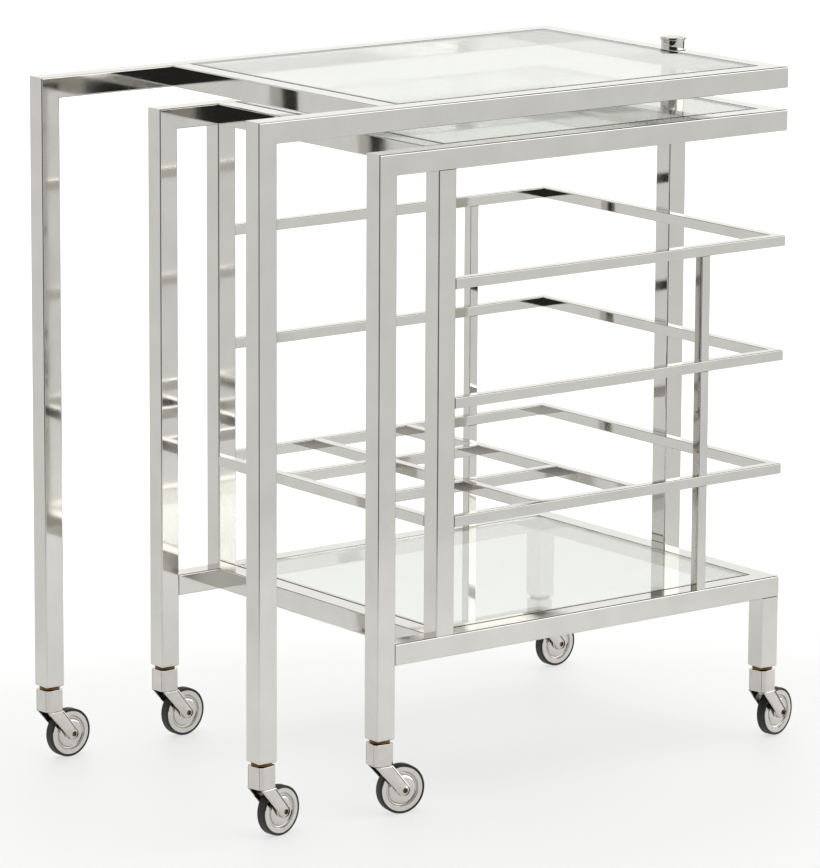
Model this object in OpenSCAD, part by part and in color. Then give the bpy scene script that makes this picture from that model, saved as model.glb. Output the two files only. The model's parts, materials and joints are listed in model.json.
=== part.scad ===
// Bar cart on six swivel casters, made of square chromed tube.
// The glass top with two legs of its own swings out about a corner post at the right end of the
// cart. Below it the cart has a glass deck, three gallery rails, a bottle divider and a glass shelf.
//
// Origin: on the floor, under the middle of the cart. +X runs along the cart towards the pivot
// post, +Y from the front to the rear, +Z up. Millimetres.

/* [Frame] */
// Length of the frames, from the swing top's legs to the right-hand end bars
frame_l = 768; // [720:1:960]
// Width of the frames, front to rear
frame_w = 452; // [360:1:600]
// Height of the swing top above the floor
top_h = 816; // [800:1:1000]
// Side of the square tube of the frames and legs
tube = 25.4; // [20:0.1:32]
// Wall of the frame tube
tube_wall = 1.5; // [1:0.1:2.5]
// Outer corner radius of the frame tube
tube_corner = 1.8; // [0.8:0.1:3]
// Space between the swing top and the deck below it
tier_gap = 25.4; // [12:0.1:40]
// Left end of the deck's outer legs, from the left end of the swing top
deck_inset = 166; // [140:1:200]
// Left side of the inner posts, from the left end of the swing top
post_inset = 250; // [225:1:300]
// Left side of the swing top's crossbar, from the left end of the swing top
crossbar_inset = 184; // [60:1:240]

/* [Glass] */
// Thickness of the glass panes
glass_t = 6; // [4:0.5:10]
// Gap between a pane's edge and the tubes around it
glass_gap = 0.8; // [0.3:0.1:2]
// Width of the ledge strips that carry a pane
ledge_w = 9; // [5:0.5:14]
// Thickness of the ledge strips
ledge_t = 3; // [2:0.5:5]

/* [Gallery and bottle divider] */
// Side of the slim square tube of the gallery rails
slim = 12.7; // [10:0.1:16]
// Wall of the slim tube
slim_wall = 1.2; // [0.8:0.1:2]
// Outer corner radius of the slim tube
slim_corner = 1; // [0.5:0.1:1.8]
// Clear height between one rail and the next
bay_h = 125; // [90:1:130]
// Left side of the first bar across the divider, from the left end of the swing top
divider_1 = 400; // [370:1:440]
// Left side of the second bar across the divider, from the left end of the swing top
divider_2 = 540.5; // [500:0.5:600]
// Left side of the slim gallery posts, from the left end of the swing top
slim_post_inset = 640; // [620:1:680]
// Rows of bottle cells across the divider
cell_rows = 3; // [2:1:4]

/* [Pivot] */
// Diameter of the pivot pin
pin_d = 14; // [10:0.5:16]
// Height of the pin's square foot inside the post
foot_h = 40; // [25:1:60]
// How far the round sleeve reaches over the swing top's end bar, where it is cut to fit the bar
saddle = 1.55; // [0.5:0.05:2]
// Wall of the sleeve
sleeve_wall = 2.5; // [2:0.1:3]
// Height of the sleeve above the swing top
sleeve_rise = 6; // [3:0.5:9]
// Thickness of the thrust washer between the post and the sleeve
thrust_t = 2; // [1.5:0.1:3]
// Thickness of the cap's disc
cap_t = 4.5; // [3:0.5:6]
// Overhang of the cap's disc around the sleeve
cap_lip = 1.5; // [0.5:0.1:2.5]

/* [Casters] */
// Height of a caster, from the floor to the end of the leg
caster_h = 90; // [86:1:110]
// Diameter of the wheel with its tyre
wheel_d = 58; // [48:1:64]
// Width of the tyre
tyre_w = 11.5; // [10:0.5:15]
// Thickness of the rubber of the tyre
tyre_t = 2.5; // [2:0.5:4]
// Offset of the wheel's axle behind the swivel axis
trail = 27; // [20:0.5:33]
// Side of the fork's square head
horn_w = 25.2; // [22:0.1:27]
// Height of the fork's square head
horn_h = 26; // [18:0.5:27]
// Chamfer of the head's upright corners
horn_chamfer = 3.5; // [1:0.5:5]
// Thickness of the fork's cheeks
cheek_t = 2.5; // [2:0.5:4]
// Radius of the rounded end of the cheeks
cheek_r = 7.5; // [6:0.5:10]
// Diameter of the axle
axle_d = 5.8; // [4:0.1:8]
// Diameter of the swivel stem
stem_d = 8; // [6:0.5:11]
// Thickness of the bearing washer between a leg and a fork
race_t = 3.1; // [2:0.1:4]
// Diameter of the bearing washer
race_d = 24; // [18:0.5:25]
// Resting turn of the swing top's front caster
turn_top_front = 10; // [-30:1:30]
// Resting turn of the swing top's rear caster
turn_top_rear = 4; // [-30:1:30]
// Resting turn of the deck's front caster
turn_deck_front = -9; // [-30:1:30]
// Resting turn of the deck's rear caster
turn_deck_rear = 4; // [-30:1:30]
// Resting turn of the front caster at the pivot end
turn_end_front = 13; // [-30:1:30]
// Resting turn of the rear caster at the pivot end
turn_end_rear = 4; // [-30:1:30]

/* [Hidden] */
$fn = 48;
slip = 0.05; // running clearance of a shaft in its hole, on the radius
free = 0.4; // gap between two pieces that turn past each other
bushing_h = 12; // height of each of the pivot's bushings
cap_plug_h = 6; // depth of the cap's plug inside the sleeve
plug_lip = 3; // part of a leg plug that shows below the tube
plug_depth = 20; // part of a leg plug inside the tube
plug_corner = 3; // outer corner radius of a plug's lip
cheek_inset = 1.2; // the cheeks' upper ends are this much narrower than the head, on each side
horn_roof = 6; // metal above the hollow of a fork's head
stem_head_t = 2; // thickness of the riveted head of a stem
stem_head_d = 13; // its diameter
rivet_hole_d = 3; // blind hole in each end of an axle
rivet_hole_depth = 3; // its depth
hub_gap = 0.5; // gap between a wheel's hub and each cheek
hub_r = 9; // radius of the wheel's hub
dome_r = 17; // radius of the raised dome around the hub
dome_side = 6; // half the wheel's thickness at the dome's middle
dome_fall = 1; // how much thinner it is on each side at the dome's edge
dish_r = 20.5; // outer radius of the groove around the dome
web_t = 5; // thickness of the wheel in its groove
tyre_edge = 1.5; // chamfer of the tyre's shoulders

SPOTS = ["top_front", "top_rear", "deck_front", "deck_rear", "end_front", "end_rear"];
TURNS = [turn_top_front, turn_top_rear, turn_deck_front, turn_deck_rear, turn_end_front,
    turn_end_rear];

// Ends and sides of the frames
reach = trail + wheel_d / 2 - tube / 2; // the pivot-end casters stand this far past the frames
left = -(frame_l + reach) / 2;
right = left + frame_l;
front = -frame_w / 2;
rear = frame_w / 2;
rail_y = (frame_w - tube) / 2; // centre line of a side rail
slim_y = (frame_w - slim) / 2; // centre line of a slim side rail
deck_left = left + deck_inset;
post_left = left + post_inset;
top_cross = left + crossbar_inset;
pivot_x = right + tube / 2; // the post stands against the outside of the end bars
sleeve_d = tube + 2 * saddle;
sleeve_bore = sleeve_d - 2 * sleeve_wall;

// Levels: each is the top of a frame
deck_z = top_h - tube - tier_gap;
gallery_z = [for (i = [0:2]) deck_z - tube - bay_h - i * (slim + bay_h)];
base_z = gallery_z[2] - slim - bay_h;

// Casters
horn_top = caster_h - race_t - free;
horn_bottom = horn_top - horn_h;
axle_z = wheel_d / 2;
rim_r = wheel_d / 2 - tyre_t;
SPOT_X = [left + tube / 2, left + tube / 2, deck_left + tube / 2, deck_left + tube / 2,
    right - tube / 2, right - tube / 2];
SPOT_Y = [-rail_y, rail_y, -rail_y, rail_y, -rail_y, rail_y];

CHROME = [0.78, 0.78, 0.77];
GLASS = [0.9, 0.93, 0.91, 0.4];
BRASS = [0.65, 0.5, 0.25];
RUBBER = [0.1, 0.1, 0.1];
ZINC = [0.6, 0.6, 0.6];

// ---- Shapes that repeat -------------------------------------------------------------------

// A square with rounded corners, centred on the origin
module rounded_square(side, corner) {
    square([side, side - 2 * corner], center = true);
    square([side - 2 * corner, side], center = true);
    for (x = [-1, 1], y = [-1, 1])
        translate([x, y] * (side / 2 - corner)) circle(corner);
}

// The part of a tube that a 45 degree cut takes off at the tube's start. The cut leaves the side
// that turn names longest: 0 is -Y, 1 is -Z, 2 is +Y and 3 is +Z.
module mitre(side, turn) {
    rotate([90 * turn, 0, 0]) translate([0, -side / 2, 0]) rotate([0, 0, 45])
        translate([-side, 0, -side]) cube([4 * side, 2 * side, 2 * side]);
}

// Square tube along +X from the origin, open at both ends. start and end mitre its ends.
module square_tube(length, side, wall, corner, start = -1, end = -1) {
    difference() {
        rotate([90, 0, 90]) linear_extrude(length) rounded_square(side, corner);
        translate([-1, wall - side / 2, wall - side / 2])
            cube([length + 2, side - 2 * wall, side - 2 * wall]);
        if (start >= 0) mitre(side, start);
        if (end >= 0) translate([length, 0, 0]) mirror([1, 0, 0]) mitre(side, end);
    }
}

module frame_tube(length, start = -1, end = -1) {
    color(CHROME) square_tube(length, tube, tube_wall, tube_corner, start, end);
}

module slim_tube(length, start = -1, end = -1) {
    color(CHROME) square_tube(length, slim, slim_wall, slim_corner, start, end);
}

// Copies for the front and the rear, mirrored about the cart's middle
module both_sides() {
    children();
    mirror([0, 1, 0]) children();
}

// Two side rails of a frame, whose right ends are mitred to its end bar
module side_rails(from_x, top, start = -1) {
    both_sides() translate([from_x, -rail_y, top - tube / 2]) frame_tube(right - from_x, start, 0);
}

module end_bar(top) {
    translate([right - tube / 2, front, top - tube / 2]) rotate([0, 0, 90])
        frame_tube(frame_w, 0, 0);
}

// Bar between two side rails, its left side at from_x
module crossbar(from_x, top) {
    translate([from_x + tube / 2, front + tube, top - tube / 2]) rotate([0, 0, 90])
        frame_tube(frame_w - 2 * tube);
}

// Upright tubes at the front and the rear, from a height down to another. A mitred top meets a
// side rail that runs to the right.
module uprights(from_x, high, low, start = -1) {
    both_sides() translate([from_x + tube / 2, -rail_y, high]) rotate([0, 90, 0])
        frame_tube(high - low, start);
}

// Four strips inside a frame, a pane's thickness below its top
module glass_ledge(from_x, top) {
    z = top - glass_t - ledge_t;
    length = right - tube - from_x;
    color(CHROME) {
        both_sides() translate([from_x, front + tube, z]) cube([length, ledge_w, ledge_t]);
        for (x = [from_x, right - tube - ledge_w])
            translate([x, front + tube + ledge_w, z])
                cube([ledge_w, frame_w - 2 * (tube + ledge_w), ledge_t]);
    }
}

// Pane that lies on a ledge, flush with the frame's top
module glass_pane(from_x, top) {
    length = right - tube - from_x;
    color(GLASS) translate([from_x + glass_gap, front + tube + glass_gap, top - glass_t])
        cube([length - 2 * glass_gap, frame_w - 2 * (tube + glass_gap), glass_t]);
}

// Square plug in the end of a leg, drilled for a caster's stem
module leg_plug() {
    inner = tube - 2 * tube_wall;
    color(CHROME) difference() {
        union() {
            translate([0, 0, caster_h]) linear_extrude(plug_lip)
                rounded_square(tube, plug_corner);
            translate([-inner / 2, -inner / 2, caster_h + plug_lip])
                cube([inner, inner, plug_depth]);
        }
        translate([0, 0, caster_h - 1])
            cylinder(h = plug_lip + plug_depth + 2, r = stem_d / 2);
    }
}

// Stem pressed into a plug. The fork turns on it, above its riveted head.
module caster_stem() {
    bottom = horn_top - horn_roof - free - stem_head_t;
    color(ZINC) {
        translate([0, 0, bottom]) cylinder(h = caster_h + plug_lip + plug_depth - bottom,
            r = stem_d / 2);
        translate([0, 0, bottom]) cylinder(h = stem_head_t, r = stem_head_d / 2);
    }
}

// Bearing washer on a stem, against the plug
module caster_race() {
    color(BRASS) translate([0, 0, caster_h - race_t]) difference() {
        cylinder(h = race_t, r = race_d / 2);
        translate([0, 0, -1]) cylinder(h = race_t + 2, r = stem_d / 2);
    }
}

// Puts its children at the swivel axes of some of the casters
module at_spots(spots) {
    for (i = spots) translate([SPOT_X[i], SPOT_Y[i], 0]) children();
}

// ---- Swing top ----------------------------------------------------------------------------

module top_rails() { side_rails(left, top_h, 3); }
module top_end_bar() { end_bar(top_h); }
module top_crossbar() { crossbar(top_cross, top_h); }
module top_legs() { uprights(left, top_h, caster_h + plug_lip, 1); }
module top_glass_ledge() { glass_ledge(top_cross + tube, top_h); }
module top_glass() { glass_pane(top_cross + tube, top_h); }
module top_leg_plugs() { at_spots([0, 1]) leg_plug(); }
module top_caster_stems() { at_spots([0, 1]) caster_stem(); }
module top_caster_races() { at_spots([0, 1]) caster_race(); }

// ---- Pivot of the swing top ---------------------------------------------------------------

post_top = deck_z;
sleeve_bottom = post_top + thrust_t + free;
sleeve_top = top_h + sleeve_rise;

// Round sleeve welded to the outside of the swing top's end bar, which cuts a flat in it
module pivot_sleeve() {
    color(CHROME) difference() {
        translate([pivot_x, 0, sleeve_bottom])
            cylinder(h = sleeve_top - sleeve_bottom, r = sleeve_d / 2);
        translate([pivot_x, 0, sleeve_bottom - 1])
            cylinder(h = sleeve_top - sleeve_bottom + 2, r = sleeve_bore / 2);
        translate([right - tube, -tube, top_h - tube]) cube([tube, 2 * tube, tube]);
    }
}

// Bushings pressed into the sleeve's two ends, which turn on the pin
module pivot_bushings() {
    for (z = [sleeve_bottom, sleeve_top - cap_plug_h - bushing_h])
        color(BRASS) translate([pivot_x, 0, z]) difference() {
            cylinder(h = bushing_h, r = sleeve_bore / 2);
            translate([0, 0, -1]) cylinder(h = bushing_h + 2, r = pin_d / 2 + slip);
        }
}

// Cap that closes the sleeve: a disc with a plug below it
module pivot_cap() {
    color(CHROME) translate([pivot_x, 0, sleeve_top]) {
        cylinder(h = cap_t, r = sleeve_d / 2 + cap_lip);
        translate([0, 0, -cap_plug_h]) cylinder(h = cap_plug_h, r = sleeve_bore / 2);
    }
}

// ---- Cart ---------------------------------------------------------------------------------

module deck_rails() { side_rails(deck_left, deck_z, 3); }
module deck_end_bar() { end_bar(deck_z); }
module deck_crossbar() { crossbar(post_left, deck_z); }
module deck_glass_ledge() { glass_ledge(post_left + tube, deck_z); }
module deck_glass() { glass_pane(post_left + tube, deck_z); }
module outer_legs() { uprights(deck_left, deck_z, caster_h + plug_lip, 1); }
module inner_posts() { uprights(post_left, deck_z - tube, base_z); }

module base_rails() { side_rails(deck_left + tube, base_z); }
module base_end_bar() { end_bar(base_z); }
module base_crossbar() { crossbar(post_left, base_z); }
module base_glass_ledge() { glass_ledge(post_left + tube, base_z); }
module base_glass() { glass_pane(post_left + tube, base_z); }
module short_legs() { uprights(right - tube, base_z - tube, caster_h + plug_lip); }

module cart_leg_plugs() { at_spots([2:5]) leg_plug(); }
module cart_caster_stems() { at_spots([2:5]) caster_stem(); }
module cart_caster_races() { at_spots([2:5]) caster_race(); }

// ---- Post and pin of the pivot ------------------------------------------------------------

// Square post against the outside of the end bars, from the base's underside to the deck's top,
// with a plate in its lower end
module pivot_post() {
    inner = tube - 2 * tube_wall;
    translate([pivot_x, 0, post_top]) rotate([0, 90, 0]) frame_tube(post_top - base_z + tube);
    color(CHROME) translate([pivot_x - inner / 2, -inner / 2, base_z - tube])
        cube([inner, inner, tube_wall]);
}

// Pin on a square foot that is fixed in the post's top
module pivot_pin() {
    inner = tube - 2 * tube_wall;
    pin_top = sleeve_top - cap_plug_h - free;
    color(ZINC) translate([pivot_x, 0, 0]) {
        translate([-inner / 2, -inner / 2, post_top - foot_h]) cube([inner, inner, foot_h]);
        translate([0, 0, post_top - 1]) cylinder(h = pin_top - post_top + 1, r = pin_d / 2);
    }
}

// Washer on the post's top, under the sleeve
module pivot_washer() {
    color(BRASS) translate([pivot_x, 0, post_top]) difference() {
        cylinder(h = thrust_t, r = tube / 2);
        translate([0, 0, -1]) cylinder(h = thrust_t + 2, r = pin_d / 2);
    }
}

// ---- Gallery ------------------------------------------------------------------------------

// Rail around the front, the right end and the rear, from the inner posts
module gallery(top) {
    from_x = post_left + tube;
    z = top - slim / 2;
    both_sides() translate([from_x, -slim_y, z]) slim_tube(right - from_x, end = 0);
    translate([right - slim / 2, front, z]) rotate([0, 0, 90]) slim_tube(frame_w, 0, 0);
}

module upper_gallery() { gallery(gallery_z[0]); }
module middle_gallery() { gallery(gallery_z[1]); }

// The lowest rail also has a bar across its left end, between the inner posts
module lower_gallery() {
    gallery(gallery_z[2]);
    translate([post_left + slim / 2, front + tube, gallery_z[2] - slim / 2]) rotate([0, 0, 90])
        slim_tube(frame_w - 2 * tube);
}

// Slim uprights between the gallery rails, and from the lowest rail to the base
module gallery_posts() {
    for (top = gallery_z)
        both_sides() translate([left + slim_post_inset + slim / 2, -slim_y, top - slim])
            rotate([0, 90, 0]) slim_tube(bay_h);
}

// Bars across the lowest rail, and the bars between them that make the bottle cells
module bottle_divider() {
    z = gallery_z[2] - slim / 2;
    row_w = frame_w / cell_rows;
    crossings = [left + divider_1, left + divider_2];
    for (x = crossings)
        translate([x + slim / 2, front + slim, z]) rotate([0, 0, 90]) slim_tube(frame_w - 2 * slim);
    for (row = [1:cell_rows - 1], i = [0, 1]) {
        from_x = i == 0 ? post_left + slim : crossings[0] + slim;
        translate([from_x, front + row * row_w, z]) slim_tube(crossings[i] - from_x);
    }
}

// ---- Casters ------------------------------------------------------------------------------

// Puts a caster's piece at its leg, turned to its resting direction. In the piece's own frame
// the swivel axis is Z and the axle runs along Y behind it.
module at_caster(i) {
    translate([SPOT_X[i], SPOT_Y[i], 0]) rotate([0, 0, TURNS[i]]) children();
}

module horn_outline(side) {
    a = side / 2;
    b = a - horn_chamfer;
    polygon([[-a, -b], [-b, -a], [b, -a], [a, -b], [a, b], [b, a], [-b, a], [-a, b]]);
}

// Direction from the axle to where the line from a point touches the cheeks' rounded end, seen
// along Y. side is 1 for the line on the right of the way to the axle and -1 for the other.
function touch_angle(from, side) =
    let (gap = [trail, axle_z] - from)
    atan2(gap[1], gap[0]) - side * (90 + asin(cheek_r / norm(gap)));

// Side view of the cheeks: from the head's lower corners to a round end about the axle
module cheek_outline(a) {
    first = touch_angle([-a, horn_bottom], 1);
    last = touch_angle([a, horn_bottom], -1);
    steps = 20;
    round_end = [for (k = [0:steps])
        let (angle = first + (last - first) * k / steps)
        [trail, axle_z] + cheek_r * [cos(angle), sin(angle)]];
    polygon(concat([[-a, horn_bottom]], round_end, [[a, horn_bottom]]));
}

// Fork: a square head, hollow from below, and two slanted cheeks that hold the axle
module fork(i) {
    a = horn_w / 2;
    hollow_w = horn_w - 2 * cheek_t;
    color(CHROME) at_caster(i) difference() {
        union() {
            translate([0, 0, horn_bottom]) linear_extrude(horn_h) horn_outline(horn_w);
            for (y = [cheek_t - a, a]) translate([0, y, 0]) rotate([90, 0, 0])
                linear_extrude(cheek_t) cheek_outline(a - cheek_inset);
        }
        translate([-hollow_w / 2, -hollow_w / 2, horn_bottom - 1])
            cube([hollow_w, hollow_w, horn_h - horn_roof + 1]);
        translate([0, 0, horn_bottom]) cylinder(h = horn_h + 1, r = stem_d / 2 + slip);
        translate([trail, a + 1, axle_z]) rotate([90, 0, 0])
            cylinder(h = horn_w + 2, r = axle_d / 2);
    }
}

// Rivet axle with a small blind hole in each end
module axle(i) {
    color(BRASS) at_caster(i) translate([trail, horn_w / 2, axle_z]) rotate([90, 0, 0])
        difference() {
            cylinder(h = horn_w, r = axle_d / 2);
            for (z = [-1, horn_w - rivet_hole_depth])
                translate([0, 0, z]) cylinder(h = rivet_hole_depth + 1, r = rivet_hole_d / 2);
        }
}

// Wheel with a raised rim, dome and hub, bored to run on the axle
module wheel(i) {
    bore = axle_d / 2 + slip;
    hub_side = horn_w / 2 - cheek_t - hub_gap;
    rim_side = tyre_w / 2 - 0.5;
    half = [[bore, hub_side], [hub_r - 2, hub_side], [hub_r, dome_side],
        [dome_r - 1, dome_side - dome_fall], [dome_r, web_t / 2], [dish_r - 1, web_t / 2],
        [dish_r, rim_side], [rim_r, rim_side]];
    other_half = [for (n = [len(half) - 1:-1:0]) [half[n][0], -half[n][1]]];
    color(CHROME) at_caster(i) translate([trail, 0, axle_z]) rotate([90, 0, 0])
        rotate_extrude() polygon(concat(half, other_half));
}

module tyre(i) {
    outer = wheel_d / 2;
    side = tyre_w / 2;
    color(RUBBER) at_caster(i) translate([trail, 0, axle_z]) rotate([90, 0, 0])
        rotate_extrude() polygon([[rim_r, -side], [outer - tyre_edge, -side],
            [outer, -side + tyre_edge], [outer, side - tyre_edge], [outer - tyre_edge, side],
            [rim_r, side]]);
}

// ---- Nodes --------------------------------------------------------------------------------

top_rails();
top_end_bar();
top_crossbar();
top_legs();
top_glass_ledge();
top_glass();
top_leg_plugs();
top_caster_stems();
top_caster_races();
pivot_sleeve();
deck_rails();
deck_end_bar();
deck_crossbar();
deck_glass_ledge();
deck_glass();
outer_legs();
inner_posts();
base_rails();
base_end_bar();
base_crossbar();
base_glass_ledge();
base_glass();
short_legs();
cart_leg_plugs();
cart_caster_stems();
cart_caster_races();
pivot_post();
pivot_bushings();
pivot_pin();
pivot_washer();
pivot_cap();
upper_gallery();
middle_gallery();
lower_gallery();
gallery_posts();
bottle_divider();
for (i = [0:5]) {
    fork(i);
    axle(i);
    wheel(i);
    tyre(i);
}
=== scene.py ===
"""Bar cart of chromed square tube on casters: its finished pieces, studio and camera.

Every piece is made in metres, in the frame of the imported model, around the boxes of its nodes.
"""

import json
import logging
import math
from dataclasses import dataclass, field
from enum import Enum
from typing import Callable, Sequence

import bmesh
import bpy
from mathutils import Matrix, Vector


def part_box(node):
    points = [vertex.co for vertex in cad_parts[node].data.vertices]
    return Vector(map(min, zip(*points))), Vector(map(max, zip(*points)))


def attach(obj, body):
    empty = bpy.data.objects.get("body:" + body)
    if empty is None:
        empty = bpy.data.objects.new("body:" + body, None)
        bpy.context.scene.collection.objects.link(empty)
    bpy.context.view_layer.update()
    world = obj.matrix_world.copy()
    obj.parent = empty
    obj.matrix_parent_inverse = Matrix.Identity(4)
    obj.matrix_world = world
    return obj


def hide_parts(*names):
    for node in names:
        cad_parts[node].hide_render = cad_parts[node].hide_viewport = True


log = logging.getLogger("bar_cart")

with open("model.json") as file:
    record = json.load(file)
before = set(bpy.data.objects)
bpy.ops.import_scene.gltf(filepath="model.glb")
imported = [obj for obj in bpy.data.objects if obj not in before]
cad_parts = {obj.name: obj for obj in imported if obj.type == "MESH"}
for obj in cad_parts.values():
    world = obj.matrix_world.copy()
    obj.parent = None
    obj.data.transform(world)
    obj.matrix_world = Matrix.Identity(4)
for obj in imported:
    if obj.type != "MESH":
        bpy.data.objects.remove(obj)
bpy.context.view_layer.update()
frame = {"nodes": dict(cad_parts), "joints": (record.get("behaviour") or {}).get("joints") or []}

MM = 0.001
QUARTER = math.radians(90)
SMOOTH_ANGLE = math.radians(35)
ARC_STEPS = 5
EDGE_STEPS = 3
ROUND_STEPS = 96
SPOTS = ("top_front", "top_rear", "deck_front", "deck_rear", "end_front", "end_rear")
UP = Vector((0, 0, 1))


# ---- Finishes ------------------------------------------------------------------------------


class Metal(Enum):
    """What a bright metal piece is made of, and the hex colour it reflects."""

    CHROME = "D3D1CC"
    CASTER_CHROME = "CDCAC5"
    BRASS = "694B26"
    STEEL = "9C9A97"


def linear(hex_colour: str) -> tuple[float, float, float, float]:
    """Turn an sRGB hex colour to linear light.

    Args:
        hex_colour: Six hex digits.

    Returns:
        Red, green, blue and an alpha of one.
    """
    channels = [int(hex_colour[i : i + 2], 16) / 255 for i in (0, 2, 4)]
    light = [c / 12.92 if c <= 0.04045 else ((c + 0.055) / 1.055) ** 2.4 for c in channels]
    return (light[0], light[1], light[2], 1.0)


def add_node(
    tree: bpy.types.NodeTree, kind: str, inputs: dict | None = None, **settings: object
) -> bpy.types.Node:
    """Add a node with its settings, values and links.

    Args:
        tree: The tree that gets the node.
        kind: The node's type name.
        inputs: Input name or index to a value, or to an output socket to link.
        settings: The node's own attributes.

    Returns:
        The new node.
    """
    made = tree.nodes.new(kind)
    for key, value in settings.items():
        setattr(made, key, value)
    for key, value in (inputs or {}).items():
        if isinstance(value, bpy.types.NodeSocket):
            tree.links.new(value, made.inputs[key])
        else:
            made.inputs[key].default_value = value
    return made


class Surface:
    """A material in the making, with patches and relief of real sizes in Object coordinates."""

    def __init__(self, name: str) -> None:
        """Start an empty node material.

        Args:
            name: What the real material is.
        """
        self.material = bpy.data.materials.new(name)
        self.material.use_nodes = True
        self.tree = self.material.node_tree
        self.tree.nodes.clear()
        self.place = add_node(self.tree, "ShaderNodeTexCoord").outputs["Object"]

    def patches(self, size_mm: float, detail: float) -> bpy.types.NodeSocket:
        """Add soft patches.

        Args:
            size_mm: About how far across a patch is.
            detail: How many finer layers it has.

        Returns:
            Their strength, from zero to one.
        """
        inputs = {"Vector": self.place, "Scale": 1 / (size_mm * MM), "Detail": detail}
        blotches = add_node(self.tree, "ShaderNodeTexNoise", inputs).outputs["Fac"]
        # A noise seldom leaves the middle of its range, so that part is spread over the whole
        inputs = {"Value": blotches, "From Min": 0.3, "From Max": 0.7}
        return add_node(self.tree, "ShaderNodeMapRange", inputs).outputs["Result"]

    def relief(
        self, size_mm: float, depth_mm: float, detail: float, strength: float = 1.0,
        below: bpy.types.NodeSocket | None = None,
    ) -> bpy.types.NodeSocket:
        """Add an uneven surface.

        Args:
            size_mm: About how far across a bump is.
            depth_mm: How deep it is.
            detail: How many finer layers it has.
            strength: How much of it counts.
            below: The coarser surface that it lies on, or None.

        Returns:
            The surface's normal.
        """
        inputs = {"Vector": self.place, "Scale": 1 / (size_mm * MM), "Detail": detail}
        height = add_node(self.tree, "ShaderNodeTexNoise", inputs).outputs["Fac"]
        inputs = {"Height": height, "Distance": depth_mm * MM, "Strength": strength}
        if below is not None:
            inputs["Normal"] = below
        return add_node(self.tree, "ShaderNodeBump", inputs).outputs["Normal"]

    def patched_colour(
        self, patches: bpy.types.NodeSocket, clean: Sequence[float], patched: Sequence[float]
    ) -> bpy.types.NodeSocket:
        """Add a colour that turns from clean to patched with the patches.

        Args:
            patches: Their strength, from zero to one.
            clean: The linear colour where there are none.
            patched: The linear colour where they are strongest.

        Returns:
            The colour.
        """
        # The Mix node has inputs for each type, and the colours are the seventh and eighth
        mixed = add_node(
            self.tree, "ShaderNodeMix", {0: patches, 6: clean, 7: patched}, data_type="RGBA"
        )
        return mixed.outputs[2]

    def finish(self, inputs: dict) -> bpy.types.Material:
        """Close the material with its shader.

        Args:
            inputs: The shader's inputs, as for add_node.

        Returns:
            The material.
        """
        shader = add_node(self.tree, "ShaderNodeBsdfPrincipled", inputs)
        add_node(self.tree, "ShaderNodeOutputMaterial", {"Surface": shader.outputs[0]})
        return self.material


@dataclass(frozen=True)
class PlatedMetal:
    """Bright plated or turned metal.

    Chrome plating copies the steel under it, so a hand-polished tube shows slow ripples in its
    reflections, with faint polishing haze and hairlines along the tube. The real hairlines are
    finer than hairline_mm, which is as coarse as they need to be to show.
    """

    name: str
    metal: Metal
    roughness: float = 0.035
    haze: float = 0.05
    haze_mm: float = 45.0
    ripple_mm: float = 38.0
    ripple_depth_mm: float = 0.028
    hairline_mm: float = 0.9
    hairline_depth_mm: float = 0.0004
    worn_share: float = 0.93

    def build(self) -> bpy.types.Material:
        """Make the material.

        Returns:
            The material.
        """
        surface = Surface(self.name)
        haze = surface.patches(self.haze_mm, 4)
        clean = linear(self.metal.value)
        worn = tuple(self.worn_share * channel for channel in clean[:3]) + (1.0,)
        dullness = {"Value": haze, "To Min": self.roughness, "To Max": self.roughness + self.haze}
        ripple = surface.relief(self.ripple_mm, self.ripple_depth_mm, 1)
        return surface.finish(
            {
                "Base Color": surface.patched_colour(haze, clean, worn),
                "Metallic": 1.0,
                "Roughness": add_node(surface.tree, "ShaderNodeMapRange", dullness).outputs["Result"],
                "Normal": surface.relief(self.hairline_mm, self.hairline_depth_mm, 2, below=ripple),
            }
        )


@dataclass(frozen=True)
class FloatGlass:
    """Clear float glass 6 mm thick, with the faint grey-green body and wiped smears of a table pane."""

    name: str = "clear_float_glass"
    tint: str = "E8EBE6"
    ior: float = 1.52
    smear_mm: float = 70.0
    smear_roughness: float = 0.03
    wave_mm: float = 160.0
    wave_depth_mm: float = 0.01

    def build(self) -> bpy.types.Material:
        """Make the material.

        Returns:
            The material.
        """
        surface = Surface(self.name)
        dullness = {"Value": surface.patches(self.smear_mm, 5), "To Max": self.smear_roughness}
        return surface.finish(
            {
                "Base Color": linear(self.tint),
                "Transmission Weight": 1.0,
                "IOR": self.ior,
                "Roughness": add_node(surface.tree, "ShaderNodeMapRange", dullness).outputs["Result"],
                "Normal": surface.relief(self.wave_mm, self.wave_depth_mm, 0),
            }
        )


@dataclass(frozen=True)
class SolidRubber:
    """Moulded black tyre rubber: a soft sheen with fine mould grain and dusty patches.

    The real grain is finer than grain_mm, which is as coarse as it needs to be to show.
    """

    name: str = "black_tyre_rubber"
    colour: str = "100F0E"
    dusty: str = "211F1D"
    roughness: float = 0.5
    dusty_roughness: float = 0.68
    dust_mm: float = 9.0
    grain_mm: float = 0.5
    grain_depth_mm: float = 0.03
    grain_strength: float = 0.6

    def build(self) -> bpy.types.Material:
        """Make the material.

        Returns:
            The material.
        """
        surface = Surface(self.name)
        dust = surface.patches(self.dust_mm, 4)
        dullness = {"Value": dust, "To Min": self.roughness, "To Max": self.dusty_roughness}
        return surface.finish(
            {
                "Base Color": surface.patched_colour(dust, linear(self.colour), linear(self.dusty)),
                "Roughness": add_node(surface.tree, "ShaderNodeMapRange", dullness).outputs["Result"],
                "Normal": surface.relief(self.grain_mm, self.grain_depth_mm, 2, self.grain_strength),
            }
        )


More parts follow.
